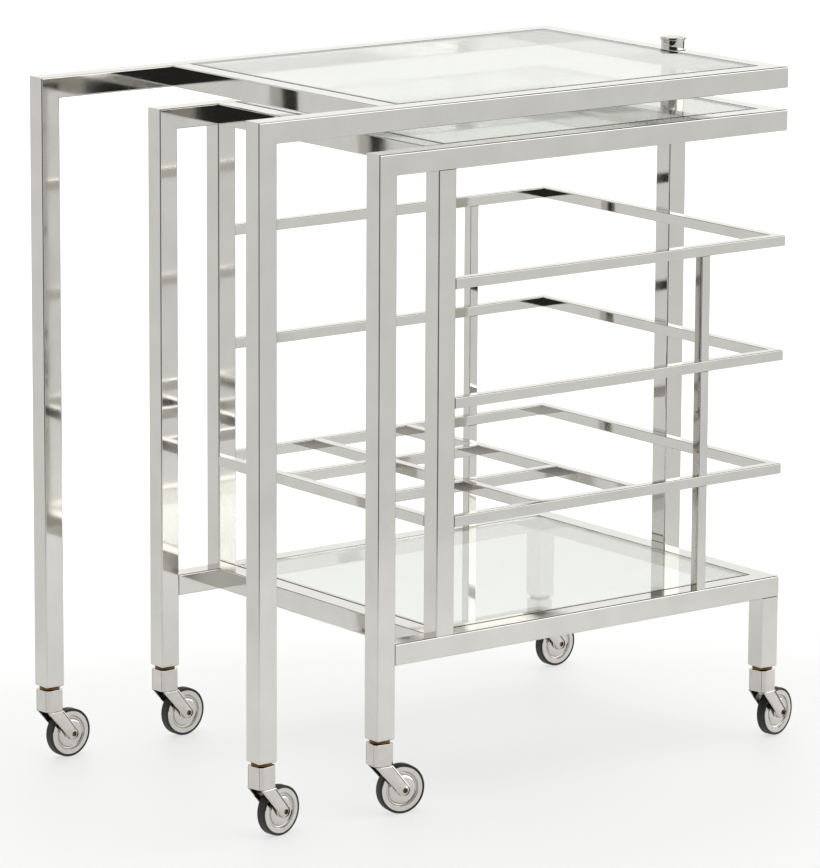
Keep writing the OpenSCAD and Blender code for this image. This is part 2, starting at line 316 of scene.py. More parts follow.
@dataclass
class Finishes:
    """The cart's materials, made once and shared.

    The casters' plating is hazier than the tubes'. Bare turned brass goes dull and brown, so its
    reflections are soft and warm. Turned steel shows soft grey ones.
    """

    chrome: bpy.types.Material = field(
        default_factory=lambda: PlatedMetal("chromed_steel_tube", Metal.CHROME).build()
    )
    caster: bpy.types.Material = field(
        default_factory=lambda: PlatedMetal(
            "chromed_caster_steel", Metal.CASTER_CHROME, 0.05, 0.06, 12.0, 14.0, 0.012
        ).build()
    )
    brass: bpy.types.Material = field(
        default_factory=lambda: PlatedMetal(
            "dull_turned_brass", Metal.BRASS, 0.22, 0.2, 5.0, 8.0, 0.02
        ).build()
    )
    steel: bpy.types.Material = field(
        default_factory=lambda: PlatedMetal(
            "turned_bright_steel", Metal.STEEL, 0.25, 0.15, 6.0, 9.0, 0.01
        ).build()
    )
    glass: bpy.types.Material = field(default_factory=lambda: FloatGlass().build())
    rubber: bpy.types.Material = field(default_factory=lambda: SolidRubber().build())


# ---- Making meshes -------------------------------------------------------------------------


def plain_mesh(made: bpy.types.Object) -> None:
    """Replace an object's mesh by its evaluated one and drop its modifiers.

    Args:
        made: The object.
    """
    depsgraph = bpy.context.evaluated_depsgraph_get()
    mesh = bpy.data.meshes.new_from_object(made.evaluated_get(depsgraph))
    made.modifiers.clear()
    made.data = mesh
    mesh.name = made.name


def smooth_piece(made: bpy.types.Object) -> None:
    """Shade a piece smooth, but sharp at its creases, and keep its flats flat.

    Args:
        made: The piece.
    """
    mesh = made.data
    mesh.polygons.foreach_set("use_smooth", [True] * len(mesh.polygons))
    mesh.set_sharp_from_angle(angle=SMOOTH_ANGLE)
    weighted = made.modifiers.new("flat_faces_lead", "WEIGHTED_NORMAL")
    weighted.keep_sharp = True
    weighted.weight = 100
    bpy.context.view_layer.update()
    plain_mesh(made)


def piece(
    name: str,
    body: str,
    nodes: Sequence[str],
    material: bpy.types.Material,
    mesh: bmesh.types.BMesh,
) -> bpy.types.Object:
    """Finish a mesh as a piece of the cart.

    Args:
        name: The piece's name.
        body: The body it rides on.
        nodes: The nodes it stands for.
        material: Its material.
        mesh: Its closed mesh, in place.

    Returns:
        The piece.
    """
    bmesh.ops.recalc_face_normals(mesh, faces=mesh.faces)
    data = bpy.data.meshes.new(name)
    mesh.to_mesh(data)
    mesh.free()
    data.materials.append(material)
    made = bpy.data.objects.new(name, data)
    bpy.context.scene.collection.objects.link(made)
    smooth_piece(made)
    return hand_over(made, body, nodes)


def hand_over(made: bpy.types.Object, body: str, nodes: Sequence[str]) -> bpy.types.Object:
    """Give a finished piece its body, and hide the nodes it stands for.

    Args:
        made: The piece.
        body: The body it rides on.
        nodes: The nodes it stands for.

    Returns:
        The piece.
    """
    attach(made, body)
    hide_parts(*nodes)
    log.info("%s: %d faces on %s", made.name, len(made.data.polygons), body)
    return made


def rounded_outline(width: float, height: float, corner: float) -> list[tuple[float, float]]:
    """Outline of a rectangle with round corners, centred on the origin.

    Args:
        width: Its size along the first axis.
        height: Its size along the second axis.
        corner: The radius of its corners.

    Returns:
        Its points, anticlockwise.
    """
    points = []
    for quarter, (sx, sy) in enumerate(((1, 1), (-1, 1), (-1, -1), (1, -1))):
        middle = (sx * (width / 2 - corner), sy * (height / 2 - corner))
        for step in range(ARC_STEPS + 1):
            angle = QUARTER * (quarter + step / ARC_STEPS)
            points.append((middle[0] + corner * math.cos(angle), middle[1] + corner * math.sin(angle)))
    return points


def add_rings(mesh: bmesh.types.BMesh, rings: Sequence[Sequence[Vector]], closed: bool = False) -> None:
    """Skin a row of rings of equal length.

    Args:
        mesh: The mesh that gets it.
        rings: The rings, each with the same number of points.
        closed: Whether the last ring joins the first, or else both get a cap.
    """
    loops = [[mesh.verts.new(point) for point in ring] for ring in rings]
    count = len(loops[0])
    pairs = list(zip(loops, loops[1:])) + ([(loops[-1], loops[0])] if closed else [])
    for first, second in pairs:
        for i in range(count):
            j = (i + 1) % count
            mesh.faces.new((first[i], first[j], second[j], second[i]))
    if not closed:
        mesh.faces.new(loops[0])
        mesh.faces.new(loops[-1])


@dataclass
class SquareTube:
    """Square tube with round corners whose ends are cut square or mitred.

    seam is the small chamfer at each cut, which shows as the fine line of a dressed weld.
    """

    side: float
    corner: float
    seam: float = 0.05 * MM

    def add(
        self, mesh: bmesh.types.BMesh, start: Vector, end: Vector, from_start: Vector | None = None,
        from_end: Vector | None = None,
    ) -> None:
        """Add a tube between two points of its axis.

        Args:
            mesh: The mesh that gets it.
            start: Where its axis starts, at the corner of the axes if mitred.
            end: Where its axis ends.
            from_start: The way the mitred neighbour leaves start, or None for a square cut.
            from_end: The way the mitred neighbour leaves end, or None for a square cut.
        """
        axis = (end - start).normalized()
        across = Vector((0, 1, 0)) if abs(axis.y) < 0.5 else Vector((1, 0, 0))
        other = axis.cross(across)
        start_cut = (axis - from_start).normalized() if from_start else axis
        end_cut = (-axis - from_end).normalized() if from_end else -axis

        rings = []
        for origin, cut, inset, inward in (
            (start, start_cut, self.seam, axis),
            (start, start_cut, 0.0, axis),
            (end, end_cut, 0.0, -axis),
            (end, end_cut, self.seam, -axis),
        ):
            side = self.side - 2 * inset
            points = []
            for a, b in rounded_outline(side, side, self.corner - inset):
                flat = across * a + other * b
                shift = axis * (-flat.dot(cut) / axis.dot(cut))
                points.append(origin + flat + shift + inward * (self.seam - inset))
            rings.append(points)
        add_rings(mesh, rings)


def add_lathe(
    mesh: bmesh.types.BMesh, outline: Sequence[tuple[float, float]], place: Matrix, steps: int = ROUND_STEPS
) -> None:
    """Turn a closed outline.

    Args:
        mesh: The mesh that gets it.
        outline: Its points as (radius, height).
        place: The frame whose Z axis it is turned about.
        steps: How many flats the round has.
    """
    rings = []
    for step in range(steps):
        angle = math.tau * step / steps
        rings.append([place @ Vector((r * math.cos(angle), r * math.sin(angle), h)) for r, h in outline])
    add_rings(mesh, rings, closed=True)


def add_prism(mesh: bmesh.types.BMesh, outline: Sequence[Vector], depth: Vector, edge: float) -> None:
    """Add an outline pushed into a solid.

    Args:
        mesh: The mesh that gets it.
        outline: The outline's points.
        depth: How far and which way it is pushed.
        edge: How far its edges are rounded.
    """
    part = bmesh.new()
    add_rings(part, [list(outline), [point + depth for point in outline]])
    bmesh.ops.recalc_face_normals(part, faces=part.faces)
    sharp = [e for e in part.edges if e.calc_face_angle(0) > SMOOTH_ANGLE]
    bmesh.ops.bevel(part, geom=sharp, offset=edge, segments=EDGE_STEPS, profile=0.5, affect="EDGES")
    data = bpy.data.meshes.new("part")
    part.to_mesh(data)
    part.free()
    mesh.from_mesh(data)
    bpy.data.meshes.remove(data)


def box_outline(low: Vector, high: Vector) -> list[Vector]:
    """Bottom outline of a box."""
    corners = ((low.x, low.y), (high.x, low.y), (high.x, high.y), (low.x, high.y))
    return [Vector((x, y, low.z)) for x, y in corners]


# ---- Geometry Nodes ------------------------------------------------------------------------


class NodeTool:
    """A Geometry Nodes tree with named inputs, built once and run for each piece."""

    def __init__(
        self,
        name: str,
        sizes: dict[str, str],
        wire: Callable[[bpy.types.NodeTree, bpy.types.NodeOutputs], bpy.types.NodeSocket],
    ) -> None:
        """Build the tree.

        Args:
            name: The tree's name.
            sizes: Input name to socket type.
            wire: Function of the tree and its inputs that returns the last geometry socket.
        """
        self.tree = bpy.data.node_groups.new(name, "GeometryNodeTree")
        self.sockets = {}
        face = self.tree.interface
        for label, kind in {**sizes, "Material": "NodeSocketMaterial"}.items():
            self.sockets[label] = face.new_socket(label, in_out="INPUT", socket_type=kind).identifier
        face.new_socket("Geometry", in_out="OUTPUT", socket_type="NodeSocketGeometry")
        given = add_node(self.tree, "NodeGroupInput")
        shape = wire(self.tree, given.outputs)
        real = add_node(self.tree, "GeometryNodeRealizeInstances", {"Geometry": shape})
        coated = add_node(
            self.tree,
            "GeometryNodeSetMaterial",
            {"Geometry": real.outputs[0], "Material": given.outputs["Material"]},
        )
        add_node(self.tree, "NodeGroupOutput", {"Geometry": coated.outputs[0]})

    def run(self, name: str, runs: Sequence[dict], material: bpy.types.Material) -> bmesh.types.BMesh:
        """Run the tree once for each set of sizes and join what it makes.

        Args:
            name: Name for the working object.
            runs: One dictionary of input values for each run.
            material: The piece's material.

        Returns:
            The joined mesh.
        """
        joined = bmesh.new()
        for values in runs:
            made = bpy.data.objects.new(name, bpy.data.meshes.new(name))
            bpy.context.scene.collection.objects.link(made)
            modifier = made.modifiers.new(name, "NODES")
            modifier.node_group = self.tree
            for label, value in {**values, "Material": material}.items():
                modifier[self.sockets[label]] = value
            bpy.context.view_layer.update()
            plain_mesh(made)
            joined.from_mesh(made.data)
            bpy.data.objects.remove(made)
        return joined


def wire_bar_row(tree: bpy.types.NodeTree, given: bpy.types.NodeOutputs) -> bpy.types.NodeSocket:
    """Wire a row of equal bars: a rounded section swept from Start to End, repeated by Step.

    Args:
        tree: The tree.
        given: Its named inputs.

    Returns:
        The row's geometry.
    """
    line = add_node(tree, "GeometryNodeCurvePrimitiveLine", {"Start": given["Start"], "End": given["End"]})
    section = add_node(
        tree, "GeometryNodeCurvePrimitiveQuadrilateral", {"Width": given["Width"], "Height": given["Height"]}
    )
    rounded = add_node(
        tree,
        "GeometryNodeFilletCurve",
        {"Curve": section.outputs[0], "Count": ARC_STEPS, "Radius": given["Corner"]},
        mode="POLY",
    )
    bar = add_node(
        tree,
        "GeometryNodeCurveToMesh",
        {"Curve": line.outputs[0], "Profile Curve": rounded.outputs[0], "Fill Caps": True},
    )
    places = add_node(
        tree, "GeometryNodeMeshLine", {"Count": given["Count"], "Offset": given["Step"]}, mode="OFFSET"
    )
    row = add_node(
        tree, "GeometryNodeInstanceOnPoints", {"Points": places.outputs[0], "Instance": bar.outputs[0]}
    )
    return row.outputs[0]


def wire_ring(tree: bpy.types.NodeTree, given: bpy.types.NodeOutputs) -> bpy.types.NodeSocket:
    """Wire a ring of rectangular section with rounded shoulders, about an axis through Middle.

    Args:
        tree: The tree.
        given: Its named inputs.

    Returns:
        The ring's geometry.
    """
    path = add_node(
        tree,
        "GeometryNodeCurvePrimitiveCircle",
        {"Resolution": ROUND_STEPS, "Radius": given["Radius"]},
        mode="RADIUS",
    )
    section = add_node(
        tree,
        "GeometryNodeCurvePrimitiveQuadrilateral",
        {"Width": given["Thickness"], "Height": given["Width"]},
    )
    rounded = add_node(
        tree,
        "GeometryNodeFilletCurve",
        {"Curve": section.outputs[0], "Count": ARC_STEPS, "Radius": given["Shoulder"]},
        mode="POLY",
    )
    ring = add_node(
        tree, "GeometryNodeCurveToMesh", {"Curve": path.outputs[0], "Profile Curve": rounded.outputs[0]}
    )
    placed = add_node(
        tree,
        "GeometryNodeTransform",
        {"Geometry": ring.outputs[0], "Translation": given["Middle"], "Rotation": given["Turn"]},
    )
    return placed.outputs[0]


@dataclass
class Tools:
    """The Geometry Nodes trees for bars in rows and for rings."""

    bars: NodeTool = field(
        default_factory=lambda: NodeTool(
            "bar_row",
            {
                "Start": "NodeSocketVector",
                "End": "NodeSocketVector",
                "Step": "NodeSocketVector",
                "Count": "NodeSocketInt",
                "Width": "NodeSocketFloat",
                "Height": "NodeSocketFloat",
                "Corner": "NodeSocketFloat",
            },
            wire_bar_row,
        )
    )
    rings: NodeTool = field(
        default_factory=lambda: NodeTool(
            "shouldered_ring",
            {
                "Radius": "NodeSocketFloat",
                "Thickness": "NodeSocketFloat",
                "Width": "NodeSocketFloat",
                "Shoulder": "NodeSocketFloat",
                "Middle": "NodeSocketVector",
                "Turn": "NodeSocketVector",
            },
            wire_ring,
        )
    )


def bar_row(
    start: Vector, end: Vector, size: tuple[float, float], corner: float, step: Vector, count: int
) -> dict:
    """Gather the input values for one row of bars.

    Args:
        start: Where the first bar's axis starts.
        end: Where it ends.
        size: The bars' width and height.
        corner: The radius of their corners.
        step: From one bar to the next.
        count: How many bars there are.

    Returns:
        The values, by input name.
    """
    return {
        "Start": start,
        "End": end,
        "Step": step,
        "Count": count,
        "Width": size[0],
        "Height": size[1],
        "Corner": corner,
    }


# ---- The frames ----------------------------------------------------------------------------


@dataclass
class Layout:
    """Sizes that the frames share, taken from the nodes' boxes."""

    tube: float = 0.0
    slim: float = 0.0
    corner: float = 1.8 * MM
    slim_corner: float = 1.0 * MM

    def __post_init__(self) -> None:
        """Measure the tubes."""
        low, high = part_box("top_crossbar")
        self.tube = high.x - low.x
        low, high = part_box("gallery_posts")
        self.slim = high.x - low.x

    def frame_tube(self) -> SquareTube:
        """The tube of the frames and legs."""
        return SquareTube(self.tube, self.corner)

    def slim_tube(self) -> SquareTube:
        """The tube of the gallery."""
        return SquareTube(self.slim, self.slim_corner)


@dataclass
class FramePieces:
    """Tubes, panes and ledges that fill their nodes' boxes."""

    layout: Layout
    finishes: Finishes
    arris: float = 0.5 * MM
    ledge_width: float = 9 * MM
    ledge_corner: float = 0.4 * MM

    def side_rails(self, node: str, body: str, mitred_leg: bool) -> None:
        """Make the front and rear rails of a frame.

        Args:
            node: The rails' node.
            body: The body they ride on.
            mitred_leg: Whether their left ends are mitred to legs.
        """
        low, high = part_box(node)
        half = self.layout.tube / 2
        mesh = bmesh.new()
        for y, inward in ((low.y + half, Vector((0, 1, 0))), (high.y - half, Vector((0, -1, 0)))):
            start = Vector((low.x + (half if mitred_leg else 0), y, high.z - half))
            end = Vector((high.x - half, y, high.z - half))
            self.layout.frame_tube().add(mesh, start, end, -UP if mitred_leg else None, inward)
        piece(node + "_chromed", body, [node], self.finishes.chrome, mesh)

    def end_bar(self, node: str, body: str) -> None:
        """Make the right-hand bar of a frame, mitred to its rails.

        Args:
            node: The bar's node.
            body: The body it rides on.
        """
        low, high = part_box(node)
        half = self.layout.tube / 2
        mesh = bmesh.new()
        x, z = high.x - half, high.z - half
        left = Vector((-1, 0, 0))
        start, end = Vector((x, low.y + half, z)), Vector((x, high.y - half, z))
        self.layout.frame_tube().add(mesh, start, end, left, left)
        piece(node + "_chromed", body, [node], self.finishes.chrome, mesh)

    def crossbar(self, node: str, body: str) -> None:
        """Make a bar between two rails.

        Args:
            node: The bar's node.
            body: The body it rides on.
        """
        low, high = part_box(node)
        middle = (low + high) / 2
        mesh = bmesh.new()
        self.layout.frame_tube().add(
            mesh, Vector((middle.x, low.y, middle.z)), Vector((middle.x, high.y, middle.z))
        )
        piece(node + "_chromed", body, [node], self.finishes.chrome, mesh)

    def uprights(self, node: str, body: str, mitred_top: bool) -> None:
        """Make the front and rear uprights of a node.

        Args:
            node: The uprights' node.
            body: The body they ride on.
            mitred_top: Whether their tops are mitred to rails.
        """
        low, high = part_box(node)
        half = self.layout.tube / 2
        mesh = bmesh.new()
        for y in (low.y + half, high.y - half):
            top = Vector((low.x + half, y, high.z - (half if mitred_top else 0)))
            self.layout.frame_tube().add(
                mesh, top, Vector((top.x, y, low.z)), Vector((1, 0, 0)) if mitred_top else None
            )
        piece(node + "_chromed", body, [node], self.finishes.chrome, mesh)

    def glass(self, node: str, body: str) -> None:
        """Make a pane with its arrised edges.

        Args:
            node: The pane's node.
            body: The body it rides on.
        """
        low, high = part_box(node)
        mesh = bmesh.new()
        add_prism(mesh, box_outline(low, high), UP * (high.z - low.z), self.arris)
        piece(node + "_pane", body, [node], self.finishes.glass, mesh)

    def ledge(self, node: str, body: str, tools: Tools) -> None:
        """Make the four strips that carry a pane.

        Args:
            node: The strips' node.
            body: The body they ride on.
            tools: The Geometry Nodes trees.
        """
        low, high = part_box(node)
        z = (low.z + high.z) / 2
        width, corner = self.ledge_width, self.ledge_corner
        x, y, size = low.x + width / 2, low.y + width / 2, (width, high.z - low.z)
        step_y = Vector((0, high.y - low.y - width, 0))
        step_x = Vector((high.x - low.x - width, 0, 0))
        ends_y = [Vector((x, low.y + width, z)), Vector((x, high.y - width, z))]
        runs = [
            bar_row(Vector((low.x, y, z)), Vector((high.x, y, z)), size, corner, step_y, 2),
            bar_row(*ends_y, size, corner, step_x, 2),
        ]
        mesh = tools.bars.run(node, runs, self.finishes.chrome)
        piece(node + "_strips", body, [node], self.finishes.chrome, mesh)


@dataclass
class SwingTop:
    """The glass top that swings out on two legs of its own."""

    pieces: FramePieces
    tools: Tools
    body: str = "swing_top"

    def build(self) -> None:
        """Make its frame, legs and pane."""
        self.pieces.side_rails("top_rails", self.body, True)
        self.pieces.end_bar("top_end_bar", self.body)
        self.pieces.crossbar("top_crossbar", self.body)
        self.pieces.uprights("top_legs", self.body, True)
        self.pieces.ledge("top_glass_ledge", self.body, self.tools)
        self.pieces.glass("top_glass", self.body)

    def dress(self) -> None:
        """Coat the hidden nodes that stay."""
        coat(("top_caster_stems",), self.pieces.finishes.steel)


@dataclass
class CartFrame:
    """The deck, the base, and the legs and posts that join them."""

    pieces: FramePieces
    tools: Tools
    body: str = "cart"

    def build(self) -> None:
        """Make the tubes and panes."""
        self.pieces.side_rails("deck_rails", self.body, True)
        self.pieces.side_rails("base_rails", self.body, False)
        for level in ("deck", "base"):
            self.pieces.end_bar(level + "_end_bar", self.body)
            self.pieces.crossbar(level + "_crossbar", self.body)
            self.pieces.ledge(level + "_glass_ledge", self.body, self.tools)
            self.pieces.glass(level + "_glass", self.body)
        self.pieces.uprights("outer_legs", self.body, True)
        self.pieces.uprights("inner_posts", self.body, False)
        self.pieces.uprights("short_legs", self.body, False)

    def dress(self) -> None:
        """Coat the hidden nodes that stay."""
        coat(("cart_caster_stems",), self.pieces.finishes.steel)


@dataclass
class Gallery:
    """Three slim rails around the bottles, their posts, and the bottle divider.

    divider_first is from the inner posts' left side to that of the divider's first crossbar.
    """

    layout: Layout
    finishes: Finishes
    tools: Tools
    body: str = "cart"
    levels: int = 3
    cell_rows: int = 3
    divider_first: float = 150 * MM

    def rail(self, node: str) -> bmesh.types.BMesh:
        """Make a rail around the front, the right end and the rear.

        Args:
            node: The rail's node.

        Returns:
            Its mesh.
        """
        low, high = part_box(node)
        half = self.layout.slim / 2
        start_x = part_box("inner_posts")[1].x
        z = (low.z + high.z) / 2
        x = high.x - half
        front, rear = low.y + half, high.y - half
        tube = self.layout.slim_tube()
        mesh = bmesh.new()
        back, left = Vector((0, 1, 0)), Vector((-1, 0, 0))
        tube.add(mesh, Vector((start_x, front, z)), Vector((x, front, z)), None, back)
        tube.add(mesh, Vector((x, front, z)), Vector((x, rear, z)), left, left)
        tube.add(mesh, Vector((start_x, rear, z)), Vector((x, rear, z)), None, -back)
        return mesh

    def bar(self, start: Vector, end: Vector, step: Vector, count: int) -> dict:
        """Gather the input values for a row of slim bars.

        Args:
            start: Where the first bar's axis starts.
            end: Where it ends.
            step: From one bar to the next.
            count: How many bars there are.

        Returns:
            The values, by input name.
        """
        slim = self.layout.slim
        return bar_row(start, end, (slim, slim), self.layout.slim_corner, step, count)

    def build(self) -> None:
        """Make the rails, the posts and the divider."""
        chrome = self.finishes.chrome
        for node in ("upper_gallery", "middle_gallery"):
            piece(node + "_rail", self.body, [node], chrome, self.rail(node))
        low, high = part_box("lower_gallery")
        post_low, post_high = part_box("inner_posts")
        tube = self.layout.tube
        z = (low.z + high.z) / 2
        mesh = self.rail("lower_gallery")
        end_x = post_low.x + self.layout.slim / 2
        self.layout.slim_tube().add(
            mesh, Vector((end_x, post_low.y + tube, z)), Vector((end_x, post_high.y - tube, z))
        )
        piece("lower_gallery_rail", self.body, ["lower_gallery"], chrome, mesh)
        self.build_posts()
        self.build_divider(z)

    def build_posts(self) -> None:
        """Make the slim posts, one row of three for each side."""
        low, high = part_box("gallery_posts")
        half = self.layout.slim / 2
        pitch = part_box("upper_gallery")[0].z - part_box("middle_gallery")[0].z
        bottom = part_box("middle_gallery")[1].z
        x = (low.x + high.x) / 2
        runs = [
            self.bar(Vector((x, y, high.z)), Vector((x, y, bottom)), -UP * pitch, self.levels)
            for y in (low.y + half, high.y - half)
        ]
        mesh = self.tools.bars.run("gallery_posts", runs, self.finishes.chrome)
        piece("gallery_posts_bars", self.body, ["gallery_posts"], self.finishes.chrome, mesh)

    def build_divider(self, z: float) -> None:
        """Make the divider's bars.

        Args:
            z: The height of their middle.
        """
        low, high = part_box("bottle_divider")
        half = self.layout.slim / 2
        full_low, full_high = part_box("upper_gallery")
        row = (full_high.y - full_low.y) / self.cell_rows
        last = high.x - half
        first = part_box("deck_crossbar")[0].x + self.divider_first + half
        y = full_low.y + row
        cells = self.cell_rows - 1
        across = Vector((last - first, 0, 0))
        along = Vector((0, row, 0))
        runs = [
            self.bar(Vector((first, low.y, z)), Vector((first, high.y, z)), across, 2),
            self.bar(Vector((low.x, y, z)), Vector((first - half, y, z)), along, cells),
            self.bar(Vector((first + half, y, z)), Vector((last - half, y, z)), along, cells),
        ]
        mesh = self.tools.bars.run("bottle_divider", runs, self.finishes.chrome)
        piece("bottle_divider_bars", self.body, ["bottle_divider"], self.finishes.chrome, mesh)


@dataclass
class Pivot:
    """The pivot post, the sleeve that turns above it, and the sleeve's cap."""

    layout: Layout
    finishes: Finishes
    edge: float = 0.7 * MM
    cap_edge: float = 1.2 * MM
    crown: float = 0.6 * MM
    crown_hole: float = 0.2 * MM

    def build(self) -> None:
        """Make the post, the sleeve and the cap."""
        chrome = self.finishes.chrome
        low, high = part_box("pivot_post")
        middle = (low + high) / 2
        mesh = bmesh.new()
        self.layout.frame_tube().add(
            mesh, Vector((middle.x, middle.y, high.z)), Vector((middle.x, middle.y, low.z))
        )
        piece("pivot_post_chromed", "cart", ["pivot_post"], chrome, mesh)
        self.build_sleeve()
        self.build_cap()

    def build_sleeve(self) -> None:
        """Make the round sleeve; the end bar covers the side where the two are joined."""
        low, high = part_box("pivot_sleeve")
        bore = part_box("pivot_bushings")
        outer, inner = (high.y - low.y) / 2, (bore[1].y - bore[0].y) / 2
        height, edge = high.z - low.z, self.edge
        bulge = 0.3 * edge
        outline = [
            (inner, 0), (outer - edge, 0), (outer - bulge, bulge), (outer, edge),
            (outer, height - edge), (outer - bulge, height - bulge), (outer - edge, height),
            (inner, height),
        ]
        mesh = bmesh.new()
        add_lathe(mesh, outline, Matrix.Translation(((bore[0].x + bore[1].x) / 2, 0, low.z)))
        name = "pivot_sleeve"
        piece(name + "_chromed", "swing_top", [name], self.finishes.chrome, mesh)

    def build_cap(self) -> None:
        """Make the cap: a disc with round edges and a slightly crowned top, on its plug."""
        low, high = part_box("pivot_cap")
        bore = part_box("pivot_bushings")
        radius, plug = (high.y - low.y) / 2, (bore[1].y - bore[0].y) / 2
        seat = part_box("pivot_sleeve")[1].z - low.z
        top, edge, hole = high.z - low.z, self.cap_edge, self.crown_hole
        rim_top = top - self.crown
        angles = [QUARTER * step / ARC_STEPS for step in range(ARC_STEPS + 1)]
        lower = [(radius - edge + edge * math.sin(a), seat + edge - edge * math.cos(a)) for a in angles]
        upper = [(radius - edge + edge * math.cos(a), rim_top - edge + edge * math.sin(a)) for a in angles]
        crowned = [(radius * share, top - self.crown * share**2) for share in (0.75, 0.5, 0.25)]
        outline = [(hole, 0), (plug, 0), (plug, seat)] + lower + upper + crowned + [(hole, top)]
        mesh = bmesh.new()
        add_lathe(mesh, outline, Matrix.Translation(((low.x + high.x) / 2, 0, low.z)))
        piece("pivot_cap_chromed", "swing_top", ["pivot_cap"], self.finishes.chrome, mesh)

    def dress(self) -> None:
        """Coat the nodes that stay."""
        coat(("pivot_pin",), self.finishes.steel)
        coat(("pivot_washer", "pivot_bushings"), self.finishes.brass)


def coat(nodes: Sequence[str], material: bpy.types.Material) -> None:
    """Give nodes that stay their material.

    Args:
        nodes: The nodes' names.
        material: Their material.
    """
    for node in nodes:
        mesh = frame["nodes"][node].data
        mesh.materials.clear()
        mesh.materials.append(material)


# ---- Casters -------------------------------------------------------------------------------


@dataclass
class CasterSizes:
    """Sizes that all the casters share, in metres."""

    head: float = 25.2 * MM
    chamfer: float = 3.5 * MM
    cheek: float = 2.5 * MM
    cheek_end: float = 7.5 * MM
    roof: float = 6 * MM
    edge: float = 0.45 * MM
    inner_chamfer: float = 2.1 * MM
    bore_gap: float = 0.15 * MM
    bore_cut: float = 2.2 * MM
    cheek_inset: float = 1.2 * MM
    cheek_bevel: float = 1.5 * MM
    crease: float = 0.45 * MM
    crease_depth: float = 1.3 * MM
    head_height: float = 26 * MM
    trail: float = 27 * MM
    tyre_thickness: float = 2.5 * MM
    tyre_width: float = 11.5 * MM
    tyre_shoulder: float = 1.3 * MM
    tyre_gap: float = 0.02 * MM
    rim_side: float = 5.4 * MM
    rim_inner: float = 20.8 * MM
    groove_depth: float = 2.6 * MM
    dome: float = 16.8 * MM
    dome_side: float = 6.2 * MM
    dome_edge: float = 4.6 * MM
    hub: float = 7.4 * MM
    hub_side: float = 9.4 * MM
    hub_bevel: float = 0.8 * MM
    hub_flare: float = 0.4 * MM
    wheel_play: float = 0.1 * MM
    wheel_bevel: float = 0.4 * MM
    wheel_edge: float = 0.6 * MM
    axle: float = 2.9 * MM
    axle_hole: float = 3.2 * MM
    axle_recess: float = 0.8 * MM
    axle_edge: float = 0.3 * MM
    rivet_hole: float = 1.9 * MM
    rivet_mouth: float = 2.3 * MM
    rivet_depth: float = 1.4 * MM
    rivet_centre: float = 0.2 * MM
    race_bore: float = 4.0 * MM
    plug_lip: float = 3 * MM
    plug_edge: float = 2.2 * MM
    plug_wall: float = 1.5 * MM
    plug_corner: float = 0.5 * MM
    race_shoulder: float = 0.7 * MM


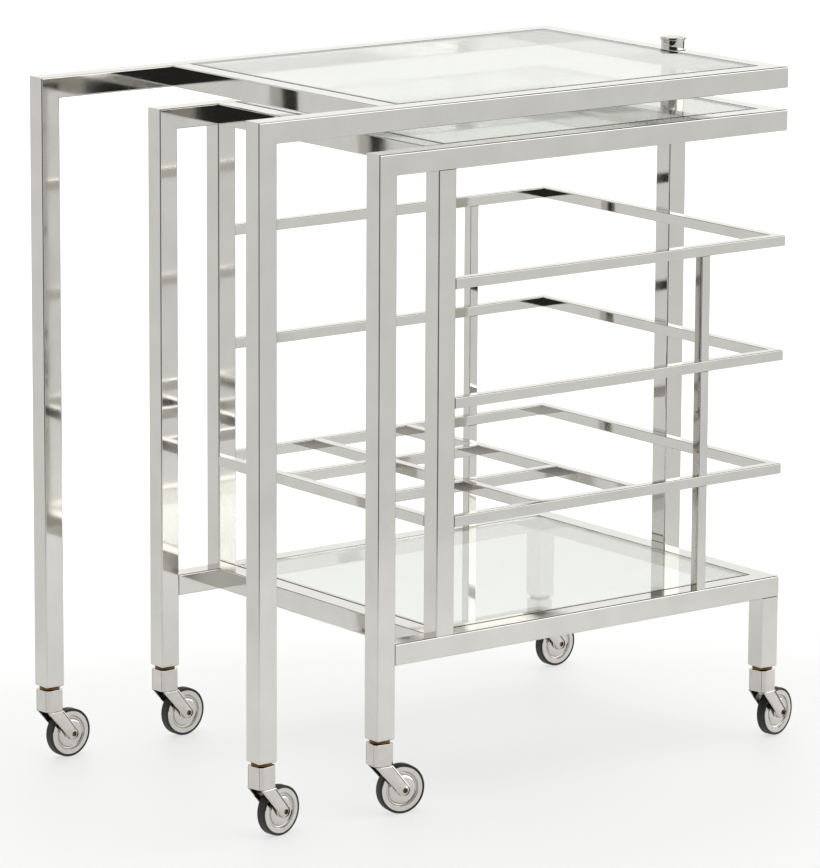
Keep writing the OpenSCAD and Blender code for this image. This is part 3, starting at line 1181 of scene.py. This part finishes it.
@dataclass
class Caster:
    """A swivel caster at one leg: its fork, wheel, tyre and axle."""

    spot: str
    finishes: Finishes
    tools: Tools
    sizes: CasterSizes = field(default_factory=CasterSizes)

    def __post_init__(self) -> None:
        """Find its place and its resting turn from its joints."""
        joints = {joint["name"]: joint for joint in frame["joints"]}
        swivel, roll = joints["swivel_" + self.spot], joints["roll_" + self.spot]
        axis = roll["axis"]
        turn = math.atan2(-axis[0], axis[1])
        stem = Matrix.Translation((swivel["pos_m"][0], swivel["pos_m"][1], 0))
        self.place = stem @ Matrix.Rotation(turn, 4, "Z")
        self.turn = turn
        self.axle_middle = Vector(roll["pos_m"])
        self.axle_z = roll["pos_m"][2]
        self.head_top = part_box("fork_" + self.spot)[1].z
        wheel_low, wheel_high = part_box("tyre_" + self.spot)
        self.wheel_r = (wheel_high.z - wheel_low.z) / 2

    def build(self) -> None:
        """Make the caster's pieces."""
        self.build_fork()
        self.build_wheel()
        self.build_tyre()
        self.build_axle()

    def head_outline(self, side: float, cut: float, z: float, deep: float) -> list[Vector]:
        """Outline the head: a square with cut corners, and a fine crease beside each cut.

        Args:
            side: The square's side.
            cut: How far its corners are cut back.
            z: Its height.
            deep: How deep the creases are.

        Returns:
            Its points, in the caster's own frame.
        """
        a, b, n = side / 2, side / 2 - cut, self.sizes.crease
        crease = ((a, 0.2 * n - b), (a - deep, 0.4 * n - b), (a - deep, n - b), (a, 1.2 * n - b))
        quarter = ((b, -a), (a, -b)) + crease
        half = quarter + tuple((x, -y) for x, y in reversed(quarter))
        points = half + tuple((-x, -y) for x, y in half)
        return [Vector((x, y, z)) for x, y in points]

    def build_fork(self) -> None:
        """Make the hollow head and the two slanted cheeks."""
        sizes = self.sizes
        bottom = self.head_top - sizes.head_height
        mesh = bmesh.new()
        inner, inner_cut = sizes.head - 2 * sizes.cheek, sizes.inner_chamfer
        bore, bore_cut = 2 * (sizes.race_bore + sizes.bore_gap), sizes.bore_cut
        crease, top = sizes.crease_depth, self.head_top
        shell = [
            (sizes.head, sizes.chamfer, bottom + sizes.edge, crease),
            (sizes.head, sizes.chamfer, top - sizes.edge, crease),
            (sizes.head - sizes.edge, sizes.chamfer, top, crease), (bore, bore_cut, top, 0),
            (bore, bore_cut, top - sizes.roof, 0), (inner, inner_cut, top - sizes.roof, 0),
            (inner, inner_cut, bottom, 0), (sizes.head - 2 * sizes.edge, sizes.chamfer, bottom, crease),
        ]
        rings = [self.head_outline(*ring) for ring in shell]
        add_rings(mesh, rings, closed=True)
        outline = self.cheek_outline(bottom)
        for side in (-1, 1):
            rings = []
            for step in range(ARC_STEPS):
                angle = QUARTER * (1 - step / (ARC_STEPS - 1))
                depth = sizes.cheek_bevel * (1 - math.sin(angle))
                rings.append(self.cheek_ring(outline, sizes.cheek_bevel * (1 - math.cos(angle)), side, depth))
            rings.reverse()
            rings += [
                self.cheek_ring(outline, 0, side, sizes.cheek - sizes.edge),
                self.cheek_ring(outline, sizes.edge, side, sizes.cheek),
                self.hole_ring(outline, side, sizes.cheek),
                self.hole_ring(outline, side, 0),
            ]
            add_rings(mesh, rings, closed=True)
        mesh.transform(self.place)
        name = "fork_" + self.spot
        piece(name + "_chromed", name, [name], self.finishes.caster, mesh)

    def cheek_ring(self, outline: Sequence[Vector], inset: float, side: int, depth: float) -> list[Vector]:
        """Move a cheek's outline inwards.

        Args:
            outline: The cheek's side view.
            inset: How far it moves inwards.
            side: Which cheek, -1 or 1.
            depth: How far it lies below the cheek's outer face.

        Returns:
            The ring's points.
        """
        # At a sharp corner the inset point lies far off, so its distance is limited
        least_share = 0.3
        y = side * (self.sizes.head / 2 - depth)
        ring = []
        for i, point in enumerate(outline):
            before, after = outline[i - 1], outline[(i + 1) % len(outline)]
            first, second = (point - before).normalized(), (after - point).normalized()
            inward = Vector((-first.z - second.z, 0, first.x + second.x)).normalized()
            reach = inset / max(least_share, inward.dot(Vector((-first.z, 0, first.x))))
            ring.append(Vector((point.x, y, point.z)) + inward * reach)
        return ring

    def hole_ring(self, outline: Sequence[Vector], side: int, depth: float) -> list[Vector]:
        """Lay the axle's hole in a cheek, with a point towards each point of the cheek's outline.

        Args:
            outline: The cheek's side view.
            side: Which cheek, -1 or 1.
            depth: How far it lies below the cheek's outer face.

        Returns:
            The ring's points.
        """
        middle = Vector((self.sizes.trail, 0, self.axle_z))
        ring = [middle + (point - middle).normalized() * self.sizes.axle_hole for point in outline]
        return [Vector((point.x, side * (self.sizes.head / 2 - depth), point.z)) for point in ring]

    def cheek_outline(self, bottom: float) -> list[Vector]:
        """Draw a cheek's side view: tangents from the head's lower corners to a round end.

        The points run about the axle, from the round end by way of both corners, and each lies
        where its direction first meets a side.

        Args:
            bottom: The height of the head's lower edge.

        Returns:
            Its points.
        """
        sizes = self.sizes
        half = sizes.head / 2 - sizes.cheek_inset
        rise = bottom - self.axle_z
        ends, corners = [], []
        for x, side in ((-half, 1), (half, -1)):
            away = math.hypot(sizes.trail - x, rise)
            heading = math.atan2(-rise, sizes.trail - x)
            ends.append(heading - side * (math.pi / 2 + math.asin(sizes.cheek_end / away)))
            corners.append(math.atan2(rise, x - sizes.trail))
        first, last = ends
        stops = (first, last, corners[1], corners[0], first + math.tau)
        sides = ((sizes.cheek_end, first), (sizes.cheek_end, last), (rise, math.pi / 2))
        end_steps, side_steps, top_steps = 24, 10, 4
        # A side that hardly faces a direction is met too far off to count
        least_share = 0.01
        points = []
        for start, end, steps in zip(stops, stops[1:], (end_steps, side_steps, top_steps, side_steps)):
            for step in range(steps):
                angle = start + (end - start) * step / steps
                facing = [(far, math.cos(angle - normal)) for far, normal in sides]
                reach = min(far / share for far, share in facing if share > least_share)
                if start == first:
                    reach = sizes.cheek_end
                x, z = reach * math.cos(angle), reach * math.sin(angle)
                points.append(Vector((sizes.trail + x, 0, self.axle_z + z)))
        return points

    def wheel_outline(self) -> list[tuple[float, float]]:
        """Draw the wheel's half section, from its bore out to its rim.

        Returns:
            Its points as (radius, side).
        """
        sizes = self.sizes
        rim, edge = self.wheel_r - sizes.tyre_thickness, sizes.wheel_edge
        points = [
            (sizes.axle + sizes.wheel_play, sizes.hub_side - sizes.wheel_bevel),
            (sizes.axle + edge, sizes.hub_side),
            (sizes.hub - edge, sizes.hub_side), (sizes.hub, sizes.hub_side - sizes.hub_bevel),
            (sizes.hub + sizes.hub_flare, sizes.dome_side + edge),
        ]
        start = sizes.hub + 2 * edge
        dome_steps, groove_steps = 8, 12
        for step in range(dome_steps + 1):
            angle = QUARTER * step / dome_steps
            fall = (sizes.dome_side - sizes.dome_edge) * (1 - math.cos(angle))
            points.append((start + (sizes.dome - start) * math.sin(angle), sizes.dome_side - fall))
        for step in range(1, groove_steps + 1):
            share = step / groove_steps
            level = sizes.dome_edge + (sizes.rim_side - sizes.dome_edge) * share
            deep = sizes.groove_depth * math.sin(math.pi * share) ** 0.6 if step < groove_steps else 0
            points.append((sizes.dome + (sizes.rim_inner - sizes.dome) * share, level - deep))
        points += [(rim - edge, sizes.rim_side), (rim, sizes.rim_side - edge)]
        return points

    def axle_frame(self) -> Matrix:
        """The frame whose Z axis is the axle."""
        middle = Matrix.Translation((self.sizes.trail, 0, self.axle_z))
        return self.place @ middle @ Matrix.Rotation(QUARTER, 4, "X")

    def build_wheel(self) -> None:
        """Turn the dished wheel."""
        half = self.wheel_outline()
        outline = half + [(radius, -side) for radius, side in reversed(half)]
        mesh = bmesh.new()
        add_lathe(mesh, outline, self.axle_frame())
        name = "wheel_" + self.spot
        piece(name + "_dished", name, [name], self.finishes.caster, mesh)

    def build_tyre(self) -> None:
        """Make the tyre from the ring tree."""
        sizes = self.sizes
        values = {
            "Radius": self.wheel_r - sizes.tyre_thickness / 2 - sizes.tyre_gap,
            "Thickness": sizes.tyre_thickness,
            "Width": sizes.tyre_width,
            "Shoulder": sizes.tyre_shoulder,
            "Middle": self.axle_middle,
            "Turn": Vector((QUARTER, 0, self.turn)),
        }
        mesh = self.tools.rings.run("tyre", [values], self.finishes.rubber)
        piece(
            "tyre_" + self.spot + "_rubber", "wheel_" + self.spot, ["tyre_" + self.spot],
            self.finishes.rubber, mesh,
        )

    def build_axle(self) -> None:
        """Turn the axle, with a countersunk hole in each end."""
        sizes = self.sizes
        half, edge = sizes.head / 2 - sizes.axle_recess, sizes.axle_edge
        floor = half - sizes.rivet_depth
        side = [
            (sizes.rivet_centre, floor), (sizes.rivet_hole - edge, floor + edge),
            (sizes.rivet_hole, half - edge),
            (sizes.rivet_mouth, half), (sizes.axle - edge, half), (sizes.axle, half - edge),
        ]
        outline = side + [(radius, -height) for radius, height in reversed(side)]
        mesh = bmesh.new()
        add_lathe(mesh, outline, self.axle_frame(), ROUND_STEPS // 2)
        name = "axle_" + self.spot
        piece(name + "_turned", "fork_" + self.spot, [name], self.finishes.brass, mesh)


@dataclass
class LegEnds:
    """The plugs in the legs' ends and the brass races below them."""

    casters: Sequence[Caster]
    finishes: Finishes
    tools: Tools
    layout: Layout
    node_prefix: str
    body: str

    def build(self) -> None:
        """Make the plugs' lips and bodies, and the races."""
        sizes = self.casters[0].sizes
        plug_low, plug_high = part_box(self.node_prefix + "_leg_plugs")
        race_low, race_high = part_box(self.node_prefix + "_caster_races")
        side, corner = self.layout.tube, self.layout.corner
        front, rear = (self.casters[i].place.to_translation().y for i in (0, -1))
        mesh = bmesh.new()
        runs = []
        for caster in self.casters:
            middle = caster.place.to_translation()
            core, core_corner = side - 2 * sizes.plug_wall, sizes.plug_corner
            lip_top = plug_low.z + sizes.plug_lip
            rings = [(core, core_corner, plug_high.z), (core, core_corner, lip_top), (side, corner, lip_top)]
            for step in range(ARC_STEPS + 1):
                angle = QUARTER * step / ARC_STEPS
                inset = sizes.plug_edge * (1 - math.cos(angle))
                rise = sizes.plug_edge * (1 - math.sin(angle))
                rings.append((side - 2 * inset, corner, plug_low.z + rise))
            add_rings(
                mesh,
                [
                    [middle + Vector((x, y, z)) for x, y in rounded_outline(width, width, radius)]
                    for width, radius, z in rings
                ],
            )
            race = (race_high.y - race_low.y - rear + front) / 2
            runs.append(
                {
                    "Radius": (race + sizes.race_bore) / 2,
                    "Thickness": race - sizes.race_bore,
                    "Width": race_high.z - race_low.z,
                    "Shoulder": sizes.race_shoulder,
                    "Middle": Vector((middle.x, middle.y, (race_low.z + race_high.z) / 2)),
                    "Turn": Vector((0, 0, 0)),
                }
            )
        plugs, races = self.node_prefix + "_leg_plugs", self.node_prefix + "_caster_races"
        piece(plugs + "_chromed", self.body, [plugs], self.finishes.chrome, mesh)
        rings = self.tools.rings.run("races", runs, self.finishes.brass)
        piece(races + "_turned", self.body, [races], self.finishes.brass, rings)


# ---- Studio --------------------------------------------------------------------------------


class Way(Enum):
    """A direction that the room's light is measured along."""

    UP = "up"
    REAR = "to the cart's rear"
    AHEAD = "level, as the camera looks"
    BESIDE = "level, to the camera's right"


@dataclass(frozen=True)
class Edge:
    """A soft edge of a zone: it rises from low to high along a way, or falls."""

    way: Way
    low: float
    high: float
    falls: bool = False


@dataclass(frozen=True)
class Zone:
    """A part of the room inside all its soft edges, and how strong it is there."""

    strength: float
    edges: Sequence[Edge]


@dataclass(frozen=True)
class Room:
    """The room's light by direction: an even glow with bright zones and dark ones.

    The tubes reflect it, so each zone is what one side of them shows.
    """

    glow: float = 0.874
    colour: str = "FEFEFC"
    darkest: float = 0.04
    backdrop_lift: float = 0.4
    dark_zones: Sequence[Zone] = (
        # Behind the camera
        Zone(1.0, (Edge(Way.AHEAD, -0.92, -0.74, True), Edge(Way.UP, 0.5, 0.65, True))),
        # In front of the cart but for its right, between the horizon and the ring
        Zone(
            1.0,
            (
                Edge(Way.REAR, -0.45, -0.05, True),
                Edge(Way.BESIDE, 0.55, 0.75, True),
                Edge(Way.UP, 0.03, 0.12),
                Edge(Way.UP, 0.55, 0.68, True),
            ),
        ),
        # A ring high up, which the tubes' round edges show as fine dark lines
        Zone(0.9, (Edge(Way.UP, 0.56, 0.62), Edge(Way.UP, 0.76, 0.84, True))),
        # A gap to the right at the rear, below the horizon
        Zone(
            0.9,
            (
                Edge(Way.BESIDE, 0.3, 0.4),
                Edge(Way.BESIDE, 0.8, 0.9, True),
                Edge(Way.AHEAD, 0.3, 0.4),
                Edge(Way.UP, -0.1, -0.02, True),
            ),
        ),
    )
    bright_zones: Sequence[Zone] = (
        # The wall that the camera looks at
        Zone(0.25, (Edge(Way.AHEAD, 0.1, 0.75), Edge(Way.UP, -0.05, 0.05))),
        # The wall to the camera's right, low down
        Zone(
            1.6,
            (Edge(Way.BESIDE, 0.7, 0.85), Edge(Way.UP, 0.0, 0.06), Edge(Way.UP, 0.45, 0.55, True)),
        ),
        # The ceiling
        Zone(0.5, (Edge(Way.UP, 0.7, 0.85),)),
    )

    def build(self, forward: Vector) -> None:
        """Make the room.

        Args:
            forward: The way the camera looks.
        """
        world = bpy.data.worlds.new("studio_room")
        world.use_nodes = True
        tree = world.node_tree
        tree.nodes.clear()
        ways = self.measure(tree, forward)
        dark = self.combine(tree, ways, self.dark_zones, "MAXIMUM")
        bright = self.combine(tree, ways, self.bright_zones, "ADD")
        lit = add_node(tree, "ShaderNodeMath", {0: bright, 1: self.glow}, operation="ADD")
        dimmed = {"Value": dark, "To Min": 1.0, "To Max": self.darkest}
        dimming = add_node(tree, "ShaderNodeMapRange", dimmed, interpolation_type="SMOOTHSTEP")
        shaded = {0: lit.outputs[0], 1: dimming.outputs["Result"]}
        strength = add_node(tree, "ShaderNodeMath", shaded, operation="MULTIPLY")
        # The backdrop itself is seen a little brighter than what it reflects
        seen = {0: add_node(tree, "ShaderNodeLightPath").outputs["Is Camera Ray"], 1: self.backdrop_lift}
        lift = add_node(tree, "ShaderNodeMath", seen, operation="MULTIPLY")
        lifted = {0: strength.outputs[0], 1: lift.outputs[0]}
        strength = add_node(tree, "ShaderNodeMath", lifted, operation="ADD").outputs[0]
        shade = add_node(tree, "ShaderNodeBackground", {"Color": linear(self.colour), "Strength": strength})
        add_node(tree, "ShaderNodeOutputWorld", {"Surface": shade.outputs[0]})
        bpy.context.scene.world = world

    def measure(self, tree: bpy.types.NodeTree, forward: Vector) -> dict[Way, bpy.types.NodeSocket]:
        """Measure a direction along each way.

        Args:
            tree: The world's tree.
            forward: The way the camera looks.

        Returns:
            The measure along each way, from -1 to 1.
        """
        view = add_node(tree, "ShaderNodeTexCoord").outputs["Generated"]
        ahead = Vector((forward.x, forward.y, 0)).normalized()
        headings = {
            Way.UP: UP,
            Way.REAR: Vector((0, 1, 0)),
            Way.AHEAD: ahead,
            Way.BESIDE: Vector((ahead.y, -ahead.x, 0)),
        }
        ways = {}
        for way, heading in headings.items():
            product = add_node(tree, "ShaderNodeVectorMath", {0: view, 1: heading}, operation="DOT_PRODUCT")
            ways[way] = product.outputs["Value"]
        return ways

    def combine(
        self, tree: bpy.types.NodeTree, ways: dict[Way, bpy.types.NodeSocket], zones: Sequence[Zone],
        operation: str,
    ) -> bpy.types.NodeSocket:
        """Combine zones into one value.

        Args:
            tree: The world's tree.
            ways: The measure along each way.
            zones: The zones.
            operation: How they are combined, as the Math node calls it.

        Returns:
            The combined strength.
        """
        whole = None
        for zone in zones:
            inside = zone.strength
            for edge in zone.edges:
                inputs = {"Value": ways[edge.way], "From Min": edge.low, "From Max": edge.high}
                inputs |= {"To Min": float(edge.falls), "To Max": float(not edge.falls)}
                soft = add_node(tree, "ShaderNodeMapRange", inputs, interpolation_type="SMOOTHSTEP")
                factors = {0: soft.outputs["Result"], 1: inside}
                inside = add_node(tree, "ShaderNodeMath", factors, operation="MULTIPLY").outputs[0]
            if whole is not None:
                inside = add_node(
                    tree, "ShaderNodeMath", {0: whole, 1: inside}, operation=operation
                ).outputs[0]
            whole = inside
        return whole


@dataclass(frozen=True)
class Studio:
    """Pale floor, soft overhead light, a room, and the camera."""

    room: Room = field(default_factory=Room)
    camera_place: tuple[float, float, float] = (-3.9056, -5.0613, 1.7167)
    yaw: float = 37.501
    pitch: float = 11.799
    roll: float = 0.289
    lens: float = 228.93
    sensor: float = 36.0
    sight: float = 60.0
    floor_middle: tuple[float, float, float] = (-0.15, -0.35, 0.0)
    floor_radius: float = 1.6
    floor_fade: float = 0.85
    floor_rim: float = 0.02
    floor_steps: int = 128
    floor_colour: str = "929292"
    floor_roughness: float = 0.6
    floor_glow: float = 0.65
    floor_glow_colour: str = "FDFDFD"
    softbox_place: tuple[float, float, float] = (0.3, 0.2, 3.2)
    softbox_size: float = 3.0
    softbox_power: float = 12.0

    def forward(self) -> Vector:
        """The way the camera looks."""
        yaw, pitch = math.radians(self.yaw), math.radians(self.pitch)
        return Vector((math.sin(yaw) * math.cos(pitch), math.cos(yaw) * math.cos(pitch), -math.sin(pitch)))

    def build_camera(self) -> None:
        """Place the camera at its viewing angle."""
        data = bpy.data.cameras.new("studio_camera")
        data.lens = self.lens
        data.sensor_width = self.sensor
        data.clip_end = self.sight
        forward = self.forward()
        level = forward.cross(UP).normalized()
        up = level.cross(forward)
        roll = math.radians(self.roll)
        right = level * math.cos(roll) + up * math.sin(roll)
        up = right.cross(forward)
        camera = bpy.data.objects.new("studio_camera", data)
        axes = Matrix((right, up, -forward)).transposed().to_4x4()
        camera.matrix_world = Matrix.Translation(self.camera_place) @ axes
        bpy.context.scene.collection.objects.link(camera)
        bpy.context.scene.camera = camera

    def floor_material(self) -> bpy.types.Material:
        """Make the floor's matt white paint, which fades to nothing towards the floor's edge.

        Returns:
            The material.
        """
        surface = Surface("matt_white_floor")
        tree = surface.tree
        reach = add_node(
            tree, "ShaderNodeVectorMath", {0: surface.place, 1: self.floor_middle}, operation="DISTANCE"
        )
        fading = {
            "Value": reach.outputs["Value"],
            "From Min": self.floor_radius - self.floor_fade,
            "From Max": self.floor_radius - self.floor_rim,
        }
        fade = add_node(tree, "ShaderNodeMapRange", fading, interpolation_type="SMOOTHSTEP")
        paint = add_node(
            tree,
            "ShaderNodeBsdfPrincipled",
            {
                "Base Color": linear(self.floor_colour),
                "Roughness": self.floor_roughness,
                "Emission Color": linear(self.floor_glow_colour),
                "Emission Strength": self.floor_glow,
            },
        )
        clear = add_node(tree, "ShaderNodeBsdfTransparent")
        mixed = add_node(
            tree, "ShaderNodeMixShader", {0: fade.outputs["Result"], 1: paint.outputs[0], 2: clear.outputs[0]}
        )
        add_node(tree, "ShaderNodeOutputMaterial", {"Surface": mixed.outputs[0]})
        return surface.material

    def build_floor(self) -> None:
        """Lay the round floor."""
        mesh = bmesh.new()
        bmesh.ops.create_circle(mesh, cap_ends=True, segments=self.floor_steps, radius=self.floor_radius)
        mesh.transform(Matrix.Translation(self.floor_middle))
        data = bpy.data.meshes.new("studio_floor")
        mesh.to_mesh(data)
        mesh.free()
        data.materials.append(self.floor_material())
        floor = bpy.data.objects.new("studio_floor", data)
        bpy.context.scene.collection.objects.link(floor)

    def build_softbox(self) -> None:
        """Hang the overhead softbox."""
        data = bpy.data.lights.new("overhead_softbox", "AREA")
        data.shape = "SQUARE"
        data.size = self.softbox_size
        data.energy = self.softbox_power
        light = bpy.data.objects.new("overhead_softbox", data)
        light.location = self.softbox_place
        bpy.context.scene.collection.objects.link(light)

    def build(self) -> None:
        """Make the whole studio."""
        bpy.context.scene.view_settings.view_transform = "Standard"
        self.build_camera()
        self.build_floor()
        self.build_softbox()
        self.room.build(self.forward())


def main() -> None:
    """Build the studio and the cart."""
    logging.basicConfig(level=logging.INFO, format="%(name)s %(message)s")
    Studio().build()
    finishes, tools, layout = Finishes(), Tools(), Layout()
    pieces = FramePieces(layout, finishes)
    for section in (SwingTop(pieces, tools), CartFrame(pieces, tools)):
        section.build()
        section.dress()
    Gallery(layout, finishes, tools).build()
    pivot = Pivot(layout, finishes)
    pivot.build()
    pivot.dress()
    casters = [Caster(spot, finishes, tools) for spot in SPOTS]
    for caster in casters:
        caster.build()
    LegEnds(casters[:2], finishes, tools, layout, "top", "swing_top").build()
    LegEnds(casters[2:], finishes, tools, layout, "cart", "cart").build()


if __name__ == "__main__":
    main()
